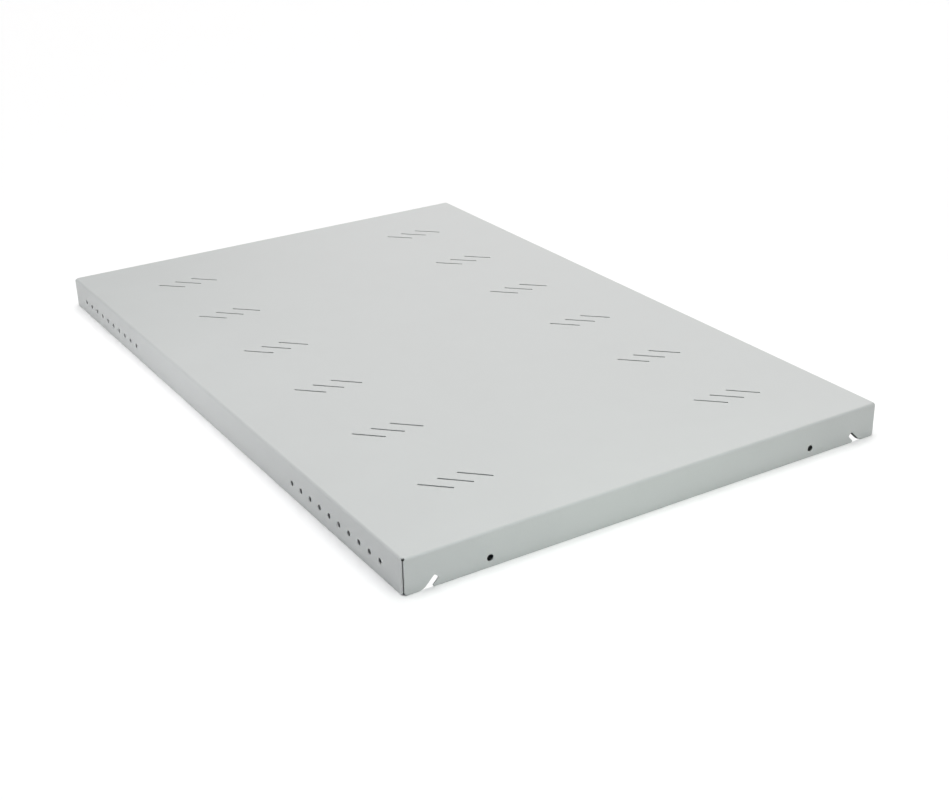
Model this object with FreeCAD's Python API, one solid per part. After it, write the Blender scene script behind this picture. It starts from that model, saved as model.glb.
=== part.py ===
import FreeCAD, Part
import math
import os

# Rack shelf folded from one steel sheet: a flat deck with a flange bent down along each of its four sides.
# Lengths are millimetres. X runs across the width, Y along the depth and Z up.
# The origin is at the middle of the footprint, level with the lower edges of the flanges.

# Outside sizes of the folded tray
width = 428.5
depth = 654.0
height = 28.0

# Sheet and folds
sheet = 1.0
bend_inside = 1.0              # inside radius of the four bends
corner_gap = 0.3               # between the end of a flange and the inner face of the next one
relief_diameter = 2.4          # hole at each corner, where two bend lines meet
flange_corner_radius = 2.5     # lower corners of every flange

# Rows of bracket holes in the two long flanges, one row near each end
side_hole_diameter = 4.3
side_hole_height = 12.2        # centre above the lower edge
side_hole_inset = 30.8         # first hole from the end of the shelf
side_hole_pitch = 15.0
side_hole_count = 10

# Screw holes in the two short flanges, one towards each side
end_hole_diameter = 5.2
end_hole_height = 7.2          # centre above the lower edge
end_hole_inset = 68.2          # centre from the side of the shelf

# Hook notches in the lower edges of the short flanges, slanting up and inwards from the mouth
notch_width = 4.5
notch_slope = 45.0             # degrees from the lower edge
notch_inset = 26.0             # middle of the closed end from the side of the shelf
notch_height = 7.6             # the same point above the lower edge
notch_end_radius = 1.0         # two corners of the closed end
notch_lead_radius = 8.0        # outer lip of the mouth, which leads a pin in
notch_tip_radius = 1.0         # inner lip of the mouth

# Vents in the deck: groups of parallel slots, in a column along each side
slot_length = 27.3
slot_width = 1.6
slot_slant = 45.0              # degrees turned from X towards the front
slot_step = 16.6               # from slot to slot across the width
slots_in_group = 3
column_inset = 87.6            # middle of a column from the side of the shelf
row_pitch = 100.0
row_offset = -1.0              # middle of the rows from the middle of the depth
row_end_margin = 60.0          # least distance from the middle of a row to the end of the shelf

# How far a cutting shape runs past the faces that it cuts
overcut = 1.0

# What follows from these sizes
bend_outside = bend_inside + sheet
half_bend = math.radians(45)   # lean of the sheet at the middle of a square bend
flange_end = sheet + corner_gap
row_count = int((depth - 2 * row_end_margin) / row_pitch) + 1


def rounded_outline(corners):
    # Closed wire round a list of (corner, radius): straight runs joined by tangent arcs
    edges = []
    starts = []
    ends = []
    for index, (corner, radius) in enumerate(corners):
        before = corners[index - 1][0]
        after = corners[(index + 1) % len(corners)][0]
        back = (before - corner).normalize()
        onward = (after - corner).normalize()
        half_angle = back.getAngle(onward) / 2
        bisector = (back + onward).normalize()
        setback = radius / math.tan(half_angle)
        starts.append(corner + back * setback)
        ends.append(corner + onward * setback)
        if radius > 0:
            middle = corner + bisector * (radius / math.sin(half_angle) - radius)
            edges.append(Part.Arc(starts[-1], middle, ends[-1]).toShape())
    for index, start in enumerate(starts):
        run_from = ends[index - 1]
        if run_from.distanceToPoint(start) > Part.Precision.confusion():
            edges.append(Part.LineSegment(run_from, start).toShape())
    return Part.Wire(Part.__sortEdges__(edges))


def notch_corners(side):
    # Corners of one notch, from its outer lip to its inner lip, in the plane of the flange facing front.
    # side is the X of the shelf's side that the notch is near.
    inwards = -math.copysign(1, side)
    slope = math.radians(notch_slope)
    up = FreeCAD.Vector(inwards * math.cos(slope), 0, math.sin(slope))
    outer = FreeCAD.Vector(-inwards * math.sin(slope), 0, math.cos(slope))
    end = FreeCAD.Vector(side + inwards * notch_inset, 0, notch_height)
    outer_corner = end + outer * (notch_width / 2)
    inner_corner = end - outer * (notch_width / 2)
    outer_lip = outer_corner - up * (outer_corner.z / math.sin(slope))
    inner_lip = inner_corner - up * (inner_corner.z / math.sin(slope))
    return [
        (outer_lip, notch_lead_radius),
        (outer_corner, notch_end_radius),
        (inner_corner, notch_end_radius),
        (inner_lip, notch_tip_radius),
    ]


def flange_outline(run, notched):
    # Face of a flange as seen from outside, standing in the XZ plane and reaching up past the deck
    reach = run / 2 - flange_end
    lower_left = FreeCAD.Vector(-reach, 0, 0)
    lower_right = FreeCAD.Vector(reach, 0, 0)
    rise = FreeCAD.Vector(0, 0, height + overcut)
    corners = [(lower_left + rise, 0), (lower_left, flange_corner_radius)]
    if notched:
        corners += notch_corners(-run / 2)
        corners += reversed(notch_corners(run / 2))
    corners += [(lower_right, flange_corner_radius), (lower_right + rise, 0)]
    return Part.Face(rounded_outline(corners))


def mitred_plan(run, outer_face):
    # Block over one side that narrows inwards at 45 degrees, so that two neighbouring bends meet at a mitre
    inwards = bend_outside + overcut
    corners = [
        FreeCAD.Vector(-run / 2, outer_face, 0),
        FreeCAD.Vector(run / 2, outer_face, 0),
        FreeCAD.Vector(run / 2 - inwards, outer_face + inwards, 0),
        FreeCAD.Vector(-run / 2 + inwards, outer_face + inwards, 0),
    ]
    plan = Part.Face(Part.makePolygon(corners + corners[:1]))
    plan.translate(FreeCAD.Vector(0, 0, -overcut))
    return plan.extrude(FreeCAD.Vector(0, 0, height + 2 * overcut))


def folded_side(run, span, hole_centres, hole_diameter, notched):
    # Bend and flange of the side that faces the front: the folded section carried along the side,
    # trimmed to the flange's outline and mitred, with its holes. span is the distance to the opposite side.
    outer_face = -span / 2
    inner_face = outer_face + sheet
    axis_y = outer_face + bend_outside
    axis_z = height - bend_outside

    def at(y, z):
        return FreeCAD.Vector(-run / 2, y, z)

    def bend_arc(radius):
        lean = radius * math.sin(half_bend)
        return Part.Arc(
            at(axis_y, axis_z + radius),
            at(axis_y - lean, axis_z + lean),
            at(axis_y - radius, axis_z),
        ).toShape()

    section = Part.Wire([
        bend_arc(bend_outside),
        Part.LineSegment(at(outer_face, axis_z), at(outer_face, 0)).toShape(),
        Part.LineSegment(at(outer_face, 0), at(inner_face, 0)).toShape(),
        Part.LineSegment(at(inner_face, 0), at(inner_face, axis_z)).toShape(),
        bend_arc(bend_inside),
        Part.LineSegment(at(axis_y, height - sheet), at(axis_y, height)).toShape(),
    ])
    side = Part.Face(section).extrude(FreeCAD.Vector(run, 0, 0))
    outline = flange_outline(run, notched)
    outline.translate(FreeCAD.Vector(0, outer_face - overcut, 0))
    side = side.common(outline.extrude(FreeCAD.Vector(0, bend_outside + 2 * overcut, 0)))
    side = side.common(mitred_plan(run, outer_face))
    through = FreeCAD.Vector(0, 1, 0)
    holes = []
    for x, z in hole_centres:
        start = FreeCAD.Vector(x, outer_face - overcut, z)
        holes.append(Part.makeCylinder(hole_diameter / 2, sheet + 2 * overcut, start, through))
    return side.cut(holes)


def turned(shape, degrees):
    copy = shape.copy()
    copy.rotate(FreeCAD.Vector(0, 0, 0), FreeCAD.Vector(0, 0, 1), degrees)
    return copy


def short_side():
    end_hole_x = width / 2 - end_hole_inset
    centres = [(x, end_hole_height) for x in (-end_hole_x, end_hole_x)]
    return folded_side(width, depth, centres, end_hole_diameter, notched=True)


def long_side():
    centres = []
    for index in range(side_hole_count):
        along = depth / 2 - side_hole_inset - index * side_hole_pitch
        centres += [(-along, side_hole_height), (along, side_hole_height)]
    return folded_side(depth, width, centres, side_hole_diameter, notched=False)


def corner_relief(toward_x, toward_y):
    # Round hole along the diagonal of a corner, through the point where the middles of two bends cross
    inset = bend_outside * (1 - math.sin(half_bend))
    x = toward_x * (width / 2 - inset)
    y = toward_y * (depth / 2 - inset)
    outwards = FreeCAD.Vector(toward_x, toward_y, 1).normalize()
    reach = 2 * bend_outside + relief_diameter
    start = FreeCAD.Vector(x, y, height - inset) - outwards * reach
    return Part.makeCylinder(relief_diameter / 2, 2 * reach, start, outwards)


def vent_slots():
    # Slots with round ends, in groups along two columns
    half_run = FreeCAD.Vector(slot_length / 2, 0, 0)
    half_wide = FreeCAD.Vector(0, slot_width / 2, 0)
    ends = [half_run + half_wide, half_wide - half_run, -half_run - half_wide, half_run - half_wide]
    face = Part.Face(rounded_outline([(end, slot_width / 2) for end in ends]))
    slot = turned(face, -slot_slant).extrude(FreeCAD.Vector(0, 0, sheet + 2 * overcut))
    column_x = width / 2 - column_inset
    slots = []
    for column in (-column_x, column_x):
        for row in range(row_count):
            for step in range(slots_in_group):
                copy = slot.copy()
                copy.translate(FreeCAD.Vector(
                    column + (step - (slots_in_group - 1) / 2) * slot_step,
                    row_offset + (row - (row_count - 1) / 2) * row_pitch,
                    height - sheet - overcut,
                ))
                slots.append(copy)
    return slots


def deck():
    # Flat panel between the four bends, with its vents
    panel_width = width - 2 * bend_outside
    panel_depth = depth - 2 * bend_outside
    corner = FreeCAD.Vector(-panel_width / 2, -panel_depth / 2, height - sheet)
    return Part.makeBox(panel_width, panel_depth, sheet, corner).cut(vent_slots())


front = short_side()
left = turned(long_side(), -90)
tray = deck().fuse([front, turned(front, 180), left, turned(left, 180)])
reliefs = [corner_relief(x, y) for x in (-1, 1) for y in (-1, 1)]
shelf_tray = tray.cut(reliefs).removeSplitter().Solids[0]

os.makedirs("parts", exist_ok=True)
shelf_tray.exportStep("parts/shelf_tray.step")
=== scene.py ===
import math

import bpy
import numpy as np
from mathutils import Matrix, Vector
from mathutils.geometry import delaunay_2d_cdt


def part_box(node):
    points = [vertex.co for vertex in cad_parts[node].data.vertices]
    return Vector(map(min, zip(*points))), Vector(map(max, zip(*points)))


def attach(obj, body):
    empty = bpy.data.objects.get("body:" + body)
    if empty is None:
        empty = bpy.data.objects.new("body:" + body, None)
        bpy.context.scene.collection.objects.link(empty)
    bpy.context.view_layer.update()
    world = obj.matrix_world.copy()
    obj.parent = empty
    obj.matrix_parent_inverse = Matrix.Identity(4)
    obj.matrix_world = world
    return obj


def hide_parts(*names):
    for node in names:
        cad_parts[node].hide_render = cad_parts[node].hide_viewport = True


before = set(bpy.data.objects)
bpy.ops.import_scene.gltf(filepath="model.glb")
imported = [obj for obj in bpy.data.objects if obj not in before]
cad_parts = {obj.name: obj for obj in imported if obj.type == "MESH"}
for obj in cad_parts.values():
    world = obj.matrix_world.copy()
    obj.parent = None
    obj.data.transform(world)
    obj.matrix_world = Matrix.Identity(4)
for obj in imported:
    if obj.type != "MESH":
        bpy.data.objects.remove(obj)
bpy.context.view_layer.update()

metre = 1000.0                 # millimetres in a metre
print("frame loaded, nodes:", sorted(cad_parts))


def linearColour(hexText):
    # sRGB hex to linear: a straight line for the darkest values, a power of 2.4 above them
    share = np.array([int(hexText[i:i + 2], 16) for i in (1, 3, 5)]) / 255
    curve = np.where(share <= 0.04045, share / 12.92, ((share + 0.055) / 1.055) ** 2.4)
    return (*curve.tolist(), 1.0)


def addNode(tree, kind, settings, links=()):
    # Adds a node: settings fill its sockets, or its own fields, by name, and links feed its sockets
    node = tree.nodes.new(kind)
    for name, value in settings.items():
        if name in node.inputs:
            node.inputs[name].default_value = value
        else:
            setattr(node, name, value)
    for name, source in dict(links).items():
        tree.links.new(source, node.inputs[name])
    return node


def newMaterial(name, settings):
    # Material with the shader's own sockets set by name, for what is the same all over the surface
    material = bpy.data.materials.new(name)
    material.use_nodes = True
    shader = material.node_tree.nodes["Principled BSDF"]
    for socket, value in settings.items():
        shader.inputs[socket].default_value = value
    return material


def addObject(name, data):
    # New object at the origin, linked to the scene
    thing = bpy.data.objects.new(name, data)
    bpy.context.scene.collection.objects.link(thing)
    return thing


# The shelf: one sheet, cut flat and folded down on its four sides. Lengths in mm.
shelfLow, shelfHigh = (np.array(corner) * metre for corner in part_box("shelf_tray"))
shelf = {
    "width": shelfHigh[0] - shelfLow[0],
    "depth": shelfHigh[1] - shelfLow[1],
    "height": shelfHigh[2] - shelfLow[2],
    "sheet": 1.0,
    "bendRadius": 2.0,         # outside of a bend
    "bendSteps": 10,           # flat steps round a bend
    "flangeEnd": 1.3,          # end of a flange from the outer face of the next one
    "flangeCorner": 2.5,       # lower corners of the flanges
    "reliefRadius": 1.8,       # hole punched where two bend lines cross
    "reliefInset": 0.4,        # its centre in from the middles of the bends
    "reliefSteps": 16,
    "edgeRound": 0.2,          # the coating softens every cut edge
    "edgeSteps": 3,
    "arcSteps": 8,             # steps round the arc of a corner
    "holeSteps": 32,           # steps round a hole
    "gridStep": 12.0,          # spacing of the points inside the deck
    "gridClear": 3.0,          # least distance of these points from a rim
    "samePoint": 1e-4,         # points of a path that are closer count as one
    "cutTolerance": 1e-5,      # of the triangulation
}
sideHoles = {"radius": 2.15, "height": 12.2, "inset": 30.8, "pitch": 15.0, "count": 10}
endHoles = {"radius": 2.6, "height": 7.2, "inset": 68.2}
notch = {
    "width": 4.5, "slope": 45.0, "inset": 26.0, "height": 7.6,
    "endRadius": 1.0, "leadRadius": 8.0, "tipRadius": 1.0,
}
vents = {
    "length": 27.3, "width": 1.6, "slant": 45.0, "step": 16.6, "inGroup": 3,
    "columnInset": 87.6, "rowPitch": 100.0, "rowOffset": -1.0, "rows": 6,
}

# On the flat sheet: where each bend starts, how long it is round its outside, and where sheet and flanges end
halfSize = np.array([shelf["width"], shelf["depth"]]) / 2
bendStart = halfSize - shelf["bendRadius"]
bendLength = shelf["bendRadius"] * math.pi / 2
sheetEdge = bendStart + bendLength + shelf["height"] - shelf["bendRadius"]
overhang = shelf["bendRadius"] - shelf["flangeEnd"]  # how far a flange runs past the start of the next bend


def unit(vectors):
    # Each vector divided by its length
    return vectors / np.linalg.norm(vectors, axis=-1, keepdims=True)


def roundedLoop(corners, radii):
    # Closed path round the corners. At each corner an arc touches both runs: its centre is on the bisector
    # at radius / sin(half angle), and its points are the two end spokes weighted by sines of the turn.
    back = unit(np.roll(corners, 1, axis=0) - corners)
    onward = unit(np.roll(corners, -1, axis=0) - corners)
    half = np.arccos(np.clip((back * onward).sum(axis=1), -1, 1)) / 2
    setback = (radii / np.tan(half))[:, None]
    centre = corners + unit(back + onward) * (radii / np.sin(half))[:, None]
    first = corners + back * setback - centre
    last = corners + onward * setback - centre
    turn = math.pi - 2 * half[:, None]
    share = np.linspace(0, 1, shelf["arcSteps"] + 1)
    fromFirst = np.sin((1 - share) * turn) / np.sin(turn)
    fromLast = np.sin(share * turn) / np.sin(turn)
    arcs = centre[:, None] + fromFirst[..., None] * first[:, None] + fromLast[..., None] * last[:, None]
    path = arcs.reshape(-1, 2)
    apart = np.linalg.norm(path - np.roll(path, 1, axis=0), axis=1)
    return path[apart > shelf["samePoint"]]


def notchCorners():
    # Notch near the end flange's corner on the +X side, from its outer lip to its inner one: from the closed
    # end two flanks run down the slope to the lower edge. Heights count up from that edge, and the last step
    # turns them into places on the flat sheet.
    slope = math.radians(notch["slope"])
    up = np.array([-math.cos(slope), math.sin(slope)])
    outwards = np.array([math.sin(slope), math.cos(slope)])
    end = np.array([halfSize[0] - notch["inset"], notch["height"]])
    outer = end + outwards * notch["width"] / 2
    inner = end - outwards * notch["width"] / 2
    corners = np.array([outer - up * outer[1] / up[1], outer, inner, inner - up * inner[1] / up[1]])
    corners[:, 1] = sheetEdge[1] - corners[:, 1]
    radii = [notch[name] for name in ("leadRadius", "endRadius", "endRadius", "tipRadius")]
    return corners, np.array(radii)


def sheetOutline():
    # One quarter of the flat sheet: the side flange's corner, the relief hole at the crossing of the bends,
    # the end flange's corner, the notch. The other three quarters mirror it. The relief is an arc from one
    # flange's end to the other's: three quarters of a circle less twice the angle whose sine is the distance
    # of a flange's end from the circle's centre, over the radius.
    middle, radius = bendLength / 2 - shelf["reliefInset"], shelf["reliefRadius"]
    mouth = math.asin((middle - overhang) / radius)
    angle = np.linspace(-mouth, mouth - 1.5 * math.pi, shelf["reliefSteps"] + 1)
    relief = bendStart + middle + radius * np.stack([np.cos(angle), np.sin(angle)], axis=1)
    sideCorner = [[sheetEdge[0], bendStart[1] + overhang]]
    endCorner = [[bendStart[0] + overhang, sheetEdge[1]]]
    slot, slotRadii = notchCorners()
    quarter = np.concatenate([sideCorner, relief, endCorner, slot])
    radii = np.concatenate([
        [shelf["flangeCorner"]], np.zeros(len(relief)), [shelf["flangeCorner"]], slotRadii,
    ])
    corners = np.concatenate([
        quarter, quarter[::-1] * [-1, 1], quarter * [-1, -1], quarter[::-1] * [1, -1],
    ])
    return roundedLoop(corners, np.concatenate([radii, radii[::-1]] * 2))


def roundHoles():
    # Circles in the flanges: the same circle moved to every centre
    angle = np.linspace(0, 2 * math.pi, shelf["holeSteps"], endpoint=False)
    circle = np.stack([np.cos(angle), np.sin(angle)], axis=1)
    alongSide = halfSize[1] - sideHoles["inset"] - sideHoles["pitch"] * np.arange(sideHoles["count"])
    downSide = np.full_like(alongSide, sheetEdge[0] - sideHoles["height"])
    sides = np.stack([downSide, alongSide], axis=1)
    ends = np.array([[halfSize[0] - endHoles["inset"], sheetEdge[1] - endHoles["height"]]])
    mirrors = np.array([[1, 1], [-1, 1], [1, -1], [-1, -1]])[:, None]
    sideCentres = (sides * mirrors).reshape(-1, 1, 2)
    endCentres = (ends * mirrors).reshape(-1, 1, 2)
    return [*(sideCentres + circle * sideHoles["radius"]), *(endCentres + circle * endHoles["radius"])]


def ventSlots():
    # Slots with round ends: one slot turned by its slant, moved to each place in each group
    half = np.array([vents["length"], vents["width"]]) / 2
    box = half * [[1, 1], [-1, 1], [-1, -1], [1, -1]]
    slant = math.radians(-vents["slant"])
    turn = np.array([[math.cos(slant), math.sin(slant)], [-math.sin(slant), math.cos(slant)]])
    slot = roundedLoop(box, np.full(len(box), half[1])) @ turn
    column = (halfSize[0] - vents["columnInset"]) * np.array([-1, 1])
    step = vents["step"] * (np.arange(vents["inGroup"]) - (vents["inGroup"] - 1) / 2)
    row = vents["rowPitch"] * (np.arange(vents["rows"]) - (vents["rows"] - 1) / 2)
    x, y = np.meshgrid((column[:, None] + step).ravel(), row + vents["rowOffset"])
    return list(np.stack([x, y], axis=-1).reshape(-1, 1, 2) + slot)


def edgeNormals(before, points, after):
    # Outward direction at each point of a path with the sheet on its left, long enough to keep a shifted
    # path parallel: the two edges' normals added, divided by 1 + their dot product
    first, second = unit(points - before), unit(after - points)
    first = np.stack([first[:, 1], -first[:, 0]], axis=1)
    second = np.stack([second[:, 1], -second[:, 0]], axis=1)
    return (first + second) / (1 + (first * second).sum(axis=1, keepdims=True))


def heldBack(loop, way):
    # A counter-clockwise loop moved by the edge rounding: in for the outline, out for a hole
    outward = edgeNormals(np.roll(loop, 1, axis=0), loop, np.roll(loop, -1, axis=0))
    return loop + way * shelf["edgeRound"] * outward


def bendLines():
    # Pairs of points: the ends of a straight line at every step of the four bends
    steps = np.linspace(0, bendLength, shelf["bendSteps"] + 1)
    lines = []
    for axis in (0, 1):
        far = bendStart[1 - axis] + overhang
        for side in (-1, 1):
            run = np.empty((len(steps), 2, 2))
            run[:, :, axis] = side * (bendStart[axis] + steps)[:, None]
            run[:, :, 1 - axis] = [-far, far]
            lines.append(run.reshape(-1, 2))
    return np.concatenate(lines)


def flatSheet():
    # Triangles of the flat sheet inside its outline and outside its holes, split along every step of a bend,
    # with a square grid of points inside the deck
    loops = [heldBack(sheetOutline(), -1)]
    loops += [heldBack(loop, 1) for loop in roundHoles() + ventSlots()]
    rims = np.concatenate(loops)
    ends = np.cumsum([0] + [len(loop) for loop in loops])
    faces = [list(range(start, end)) for start, end in zip(ends[:-1], ends[1:])]
    lines = bendLines()
    edges = np.arange(len(lines)).reshape(-1, 2) + len(rims)
    counts = np.floor(2 * bendStart / shelf["gridStep"]).astype(int)
    inner = [np.linspace(-start, start, count + 1)[1:-1] for start, count in zip(bendStart, counts)]
    grid = np.stack(np.meshgrid(*inner), axis=-1).reshape(-1, 2)
    clear = np.abs(grid[:, None] - rims).max(axis=2).min(axis=1) > shelf["gridClear"]
    points = np.concatenate([rims, lines, grid[clear]])
    insideOnly = 1             # keeps the triangles that lie within the loops
    places, _, triangles, _, _, origins = delaunay_2d_cdt(
        points.tolist(), edges.tolist(), faces, insideOnly, shelf["cutTolerance"], True,
    )
    inSheet = np.array([origin == [0] for origin in origins])    # within the outline and no hole
    used, corners = np.unique(np.array(triangles)[inSheet], return_inverse=True)
    return np.array(places)[used], corners.reshape(-1, 3)


def folded(flat, depth, sideways, lean):
    # The fold: past the start of a bend a point goes round the bend's axis by distance / radius, and past its
    # end straight down. depth is measured in from the outer skin, along the skin's normal. lean turns the
    # shading normal from the skin towards sideways, the direction out of the sheet's edge.
    row = np.arange(len(flat))
    past = np.abs(flat) - bendStart
    axis = past.argmax(axis=1)
    lead, side = past[row, axis], np.sign(flat[row, axis])
    angle = np.clip(lead, 0, bendLength) / shelf["bendRadius"]
    spoke = shelf["bendRadius"] - depth
    bent = bendStart[axis] + spoke * np.sin(angle)
    place = np.column_stack([flat, np.zeros(len(flat))])
    place[row, axis] = side * np.where(lead > 0, bent, np.abs(flat[row, axis]))
    bendAxis = shelf["height"] - shelf["bendRadius"]
    place[:, 2] = bendAxis + spoke * np.cos(angle) - np.clip(lead - bendLength, 0, None)
    skin = np.zeros_like(place)
    skin[row, axis] = side * np.sin(angle)
    skin[:, 2] = np.cos(angle)
    out = np.column_stack([sideways, -sideways[row, axis] * side * np.sin(angle)])
    out[row, axis] *= np.cos(angle)
    return place, np.cos(lean) * skin + np.sin(lean) * out


def makeShelf():
    # Outer skin, inner skin and the rounded edge that joins them. The edge's profile is a quarter round at
    # each skin with a straight run between, carried along every border of the flat triangles.
    flat, corners = flatSheet()
    count = len(flat)

    # Borders are the triangle sides that no other triangle runs along the other way
    sides = np.concatenate([corners[:, [0, 1]], corners[:, [1, 2]], corners[:, [2, 0]]])
    border = sides[~np.isin(sides[:, 0] * count + sides[:, 1], sides[:, 1] * count + sides[:, 0])]
    before, after = np.zeros(count, int), np.zeros(count, int)
    after[border[:, 0]], before[border[:, 1]] = border[:, 1], border[:, 0]
    rim = border[:, 0]
    outward = edgeNormals(flat[before[rim]], flat[rim], flat[after[rim]])

    # Profile: lean of its normal from the outer skin, reach past the rim and depth in the sheet
    quarter = np.linspace(0, math.pi / 2, shelf["edgeSteps"] + 1)[1:]
    lean = np.concatenate([quarter, math.pi - quarter[::-1]])
    reach = shelf["edgeRound"] * np.sin(lean)
    sink = shelf["edgeRound"] * (1 - np.cos(quarter))
    sink = np.concatenate([sink, shelf["sheet"] - sink[::-1]])
    rings = len(lean)

    allFlat = np.concatenate([flat, flat, (flat[rim] + reach[:, None, None] * outward).reshape(-1, 2)])
    allDepth = np.concatenate([np.zeros(count), np.full(count, shelf["sheet"]), np.repeat(sink, len(rim))])
    allLean = np.concatenate([np.zeros(count), np.full(count, math.pi), np.repeat(lean, len(rim))])
    allOut = np.concatenate([np.zeros((2 * count, 2)), np.tile(unit(outward), (rings, 1))])
    places, normals = folded(allFlat, allDepth, allOut, allLean[:, None])

    # Strips of four-sided faces run from the outer skin's rim over the rings to the inner skin's rim
    onRim = np.zeros(count, int)
    onRim[rim] = np.arange(len(rim))
    levels = [2 * count + ring * len(rim) + onRim[border] for ring in range(rings)]
    levels = [border, *levels, border + count]
    strips = [np.stack([a[:, 1], a[:, 0], b[:, 0], b[:, 1]], axis=1) for a, b in zip(levels[:-1], levels[1:])]
    faces = corners.tolist() + (corners[:, ::-1] + count).tolist() + np.concatenate(strips).tolist()

    mesh = bpy.data.meshes.new("folded_shelf")
    mesh.from_pydata((places / metre).tolist(), [], faces)
    mesh.shade_smooth()
    mesh.normals_split_custom_set_from_vertices(unit(normals).tolist())
    piece = addObject("folded_shelf", mesh)
    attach(piece, "root")
    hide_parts("shelf_tray")
    print("shelf folded:", len(places), "points,", len(faces), "faces")
    return piece


# Light grey polyester powder coat, sprayed on steel and baked: an even, satin skin with a faint orange peel
coat = {
    "light": "#c5c8c7",
    "dark": "#c3c6c5",
    "cloudSize": 60.0,         # mm, slow drift of the film's thickness
    "cloudDetail": 3.0,
    "darkUpTo": 0.35,          # noise value below which the film is all dark
    "lightFrom": 0.65,         # and above which it is all light
    "peelSize": 1.8,           # mm, drawn coarser than the real 0.6 so that it shows
    "peelDepth": 0.06,         # mm, deeper than real for the same reason
    "peelDetail": 1.0,
    "roughness": 0.42,
    "roughnessSpread": 0.05,
    "ior": 1.5,
}


def powderCoat():
    # Two noises on Object coordinates: a slow one tints the film and shifts its gloss, a fine one is the peel
    material = newMaterial("satin_powder_coat_light_grey", {"IOR": coat["ior"]})
    tree = material.node_tree
    shader = tree.nodes["Principled BSDF"]
    place = addNode(tree, "ShaderNodeTexCoord", {}).outputs["Object"]
    cloud = addNode(tree, "ShaderNodeTexNoise", {
        "Scale": metre / coat["cloudSize"], "Detail": coat["cloudDetail"],
    }, {"Vector": place})
    tint = addNode(tree, "ShaderNodeValToRGB", {}, {"Fac": cloud.outputs["Fac"]})
    darkStop, lightStop = tint.color_ramp.elements
    darkStop.position, darkStop.color = coat["darkUpTo"], linearColour(coat["dark"])
    lightStop.position, lightStop.color = coat["lightFrom"], linearColour(coat["light"])
    gloss = addNode(tree, "ShaderNodeMapRange", {
        "To Min": coat["roughness"] - coat["roughnessSpread"],
        "To Max": coat["roughness"] + coat["roughnessSpread"],
    }, {"Value": cloud.outputs["Fac"]})
    peel = addNode(tree, "ShaderNodeTexNoise", {
        "Scale": metre / coat["peelSize"], "Detail": coat["peelDetail"],
    }, {"Vector": place})
    bump = addNode(tree, "ShaderNodeBump", {
        "Strength": 1.0, "Distance": coat["peelDepth"] / metre,
    }, {"Height": peel.outputs["Fac"]})
    tree.links.new(tint.outputs["Color"], shader.inputs["Base Color"])
    tree.links.new(gloss.outputs["Result"], shader.inputs["Roughness"])
    tree.links.new(bump.outputs["Normal"], shader.inputs["Normal"])
    return material


piece = makeShelf()
piece.data.materials.append(powderCoat())
print("powder coat on")

# Plain pale floor, matt white, far larger than the view
floorSheet = {
    "size": 40.0,              # metres
    "gap": 0.1,                # mm, under the lower edges
    "colour": "#ffffff",
    "roughness": 0.9,
    "specular": 0.2,
}


def makeFloor():
    # Square sheet just under the lower edges
    corners = np.array([[-1, -1], [1, -1], [1, 1], [-1, 1]]) * floorSheet["size"] / 2
    level = np.full(len(corners), (shelfLow[2] - floorSheet["gap"]) / metre)
    mesh = bpy.data.meshes.new("floor")
    mesh.from_pydata(np.column_stack([corners, level]).tolist(), [], [(0, 1, 2, 3)])
    mesh.materials.append(newMaterial("matt_white_floor", {
        "Base Color": linearColour(floorSheet["colour"]),
        "Roughness": floorSheet["roughness"],
        "Specular IOR Level": floorSheet["specular"],
    }))
    floor = addObject("floor", mesh)


makeFloor()

# Painted light: glowing white cards bent in an L, seen by the camera but lighting nothing, so that the front
# notches show white.
# A foot lies on the floor under the notch's mouth, and an upright stands close behind the notch, with a
# near-black back that is painted shade. Lengths in mm: a foot's points are x and y, an upright's x and z.
cards = {
    "left": {
        "foot": [(-204.5, -326.9), (-191.5, -326.9)],
        "upright": [(-202.4, 0), (-189.73, 0), (-184.95, 4.84), (-188.48, 8.56), (-190.94, 8.56)],
    },
    "right": {
        "foot": [(190.5, -326.9), (199.2, -326.9)],
        "upright": [
            (191.12, 0), (198.96, 0), (197.07, 1.06), (195.36, 2.11),
            (194.03, 3.3), (188.94, 8.22), (187.83, 8.56), (185.71, 6.08),
        ],
    },
}
cardStock = {
    "stand": -325.5,           # y of the uprights, behind the front flange
    "thickness": 0.1,
    "lift": 0.05,              # above the lower edges
    # front: the white that the cards glow in, painted light. back: near black, painted shade on the backs and
    # the base under the fronts' glow
    "front": "#ffffff",
    "back": "#141414",
    "glow": 1.0,
}
# Painted light: the card's front only glows white, over a near-black base
paintedLightCard = newMaterial("painted_light_white_card", {
    "Base Color": linearColour(cardStock["back"]),
    "Emission Color": linearColour(cardStock["front"]),
    "Emission Strength": cardStock["glow"],
})
# Painted shade: the card's near-black back
paintedShadeBack = newMaterial("painted_shade_card_back", {"Base Color": linearColour(cardStock["back"])})


def makeCard(side, foot, upright):
    # Three flat faces: the foot from its front edge back to the upright's first two points, the upright's
    # front, both glowing white as painted light, and the same outline behind it as its near-black back,
    # painted shade
    foot, upright = np.array(foot), np.array(upright)
    lift, stand = cardStock["lift"], cardStock["stand"]
    sole = np.column_stack([foot, np.full(len(foot), lift)])
    front = np.column_stack([upright[:, 0], np.full(len(upright), stand), upright[:, 1] + lift])
    back = front + [0, cardStock["thickness"], 0]
    points = np.concatenate([sole, front, back]) / metre
    rise = np.arange(len(upright)) + len(foot)
    faces = [[0, 1, 3, 2], rise.tolist(), (rise + len(upright))[::-1].tolist()]
    mesh = bpy.data.meshes.new("painted_light_and_shade_card_" + side)
    mesh.from_pydata(points.tolist(), [], faces)
    mesh.materials.append(paintedLightCard)
    mesh.materials.append(paintedShadeBack)
    mesh.polygons.foreach_set("material_index", [0, 0, 1])
    card = addObject("painted_light_and_shade_card_" + side, mesh)
    card.visible_diffuse = card.visible_glossy = card.visible_shadow = False    # seen, but changing no light


for side, card in cards.items():
    makeCard(side, **card)

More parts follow.
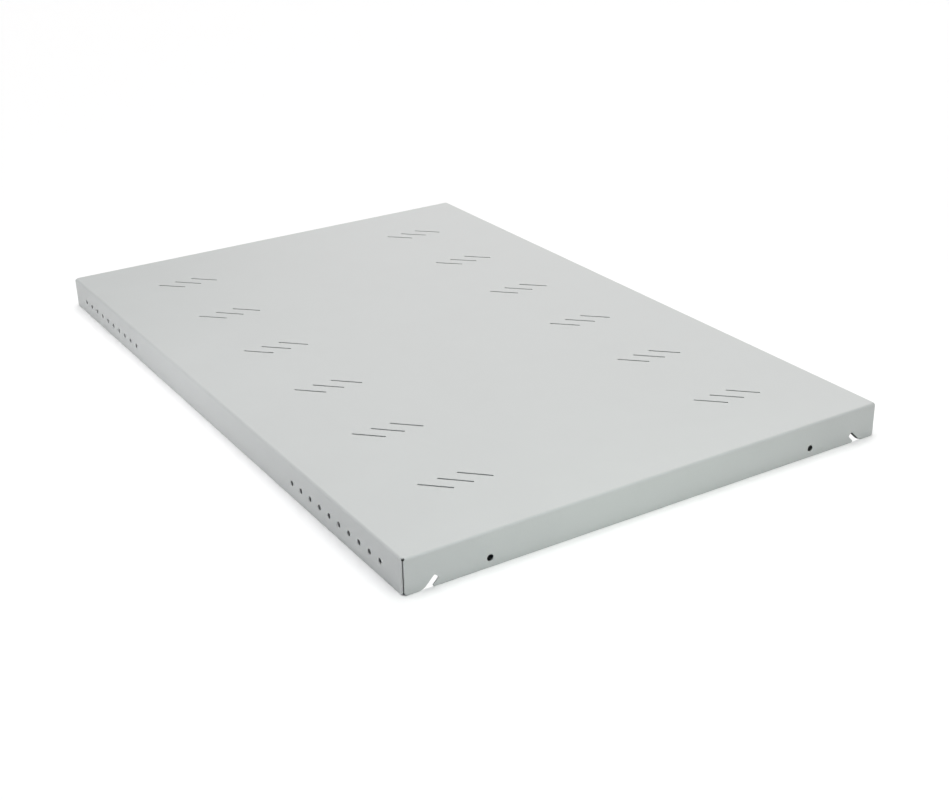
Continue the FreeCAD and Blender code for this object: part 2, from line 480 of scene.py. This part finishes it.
# Soft studio light: a dim dome with a white horizon, broad distant lamps overhead and behind, and panels in
# front of the two sides that the camera sees, with a weak cool one at their corner. Lengths in mm.
dome = {"zenith": 0.026, "horizon": 1.0, "bandTop": 0.025, "fadeTop": 0.08, "tint": "#ffffff"}
lamps = {
    "overhead": {"azimuth": 0, "elevation": 90, "spread": 60, "strength": 0.9, "tint": "#ffffff"},
    "back_right": {"azimuth": 135, "elevation": 20, "spread": 50, "strength": 0.245, "tint": "#fffafa"},
}
panels = {
    "left_far": {
        "place": (-600, 120, 190), "aim": (-214, 120, 14), "size": 250, "strength": 1.06, "tint": "#fdfbff",
    },
    "left_near": {
        "place": (-450, 40, 140), "aim": (-214, 40, 14), "size": 150, "strength": 1.13, "tint": "#fdfbff",
    },
    "front_far": {
        "place": (-60, -700, 190), "aim": (-60, -327, 14), "size": 250, "strength": 0.82, "tint": "#eefff1",
    },
    "front_near": {
        "place": (-30, -560, 140), "aim": (-30, -327, 14), "size": 150, "strength": 1.18, "tint": "#eefff1",
    },
    "cool_fill": {
        "place": (-520, -720, 200), "aim": (-214, -327, 14), "size": 300, "strength": 0.21, "tint": "#6ca0ff",
    },
}


def makeDome():
    # White round the horizon, so that the floor ends in white, fading to a dim sky. Heights are those of the
    # direction's unit vector.
    world = bpy.data.worlds.new("soft_dome")
    bpy.context.scene.world = world
    world.use_nodes = True
    tree = world.node_tree
    ray = addNode(tree, "ShaderNodeTexCoord", {})
    height = addNode(tree, "ShaderNodeSeparateXYZ", {}, {"Vector": ray.outputs["Generated"]})
    level = addNode(tree, "ShaderNodeMapRange", {
        "From Min": dome["bandTop"], "From Max": dome["fadeTop"],
        "To Min": dome["horizon"], "To Max": dome["zenith"],
    }, {"Value": height.outputs["Z"]})
    sky = tree.nodes["Background"]
    sky.inputs["Color"].default_value = linearColour(dome["tint"])
    tree.links.new(level.outputs["Result"], sky.inputs["Strength"])


def makeLamp(name, azimuth, elevation, spread, strength, tint):
    # Broad distant lamp. Azimuth 0 stands in front of the shelf and 90 at its right. A strength of 1 shows a
    # white sheet that faces the lamp as white.
    light = bpy.data.lights.new(name, "SUN")
    light.energy = strength * math.pi
    light.angle = math.radians(spread)
    light.color = linearColour(tint)[:3]
    turn, rise = math.radians(azimuth), math.radians(elevation)
    towards = Vector((math.sin(turn) * math.cos(rise), -math.cos(turn) * math.cos(rise), math.sin(rise)))
    lamp = addObject(name, light)
    lamp.rotation_euler = towards.to_track_quat("Z", "Y").to_euler()


def makePanel(name, place, aim, size, strength, tint):
    # Square panel that faces its aim and is not seen itself. Its power is strength times pi times its area,
    # so that a strength of 1 is as bright as white paper in full light.
    light = bpy.data.lights.new(name, "AREA")
    light.shape = "SQUARE"
    light.size = size / metre
    light.energy = strength * math.pi * light.size ** 2
    light.color = linearColour(tint)[:3]
    panel = addObject(name, light)
    panel.location = Vector(place) / metre
    panel.rotation_euler = (Vector(place) - Vector(aim)).to_track_quat("Z", "Y").to_euler()
    panel.visible_camera = False


makeDome()
for name, lamp in lamps.items():
    makeLamp(name, **lamp)
for name, panel in panels.items():
    makePanel(name, **panel)
bpy.context.scene.view_settings.view_transform = "Standard"
print("floor and light set")

# Camera, placed from the lines of the photograph. The image is 950 x 800 pixels.
shot = {
    "place": (-613.15, -1073.37, 528.89),    # mm
    "turn": (65.3474, 1.2205, -32.0830),     # degrees
    "focal": 1503.42,                        # pixels
    "imageWidth": 950,
    "sensor": 36.0,
    "clip": (0.01, 100.0),                   # metres
}


def makeCamera():
    # The lens is the focal length in pixels times the sensor's width over the image's
    lens = bpy.data.cameras.new("camera")
    lens.sensor_width = shot["sensor"]
    lens.lens = shot["focal"] * shot["sensor"] / shot["imageWidth"]
    lens.clip_start, lens.clip_end = shot["clip"]
    camera = addObject("camera", lens)
    camera.location = np.array(shot["place"]) / metre
    camera.rotation_euler = np.radians(shot["turn"])
    bpy.context.scene.camera = camera


makeCamera()
print("camera set")
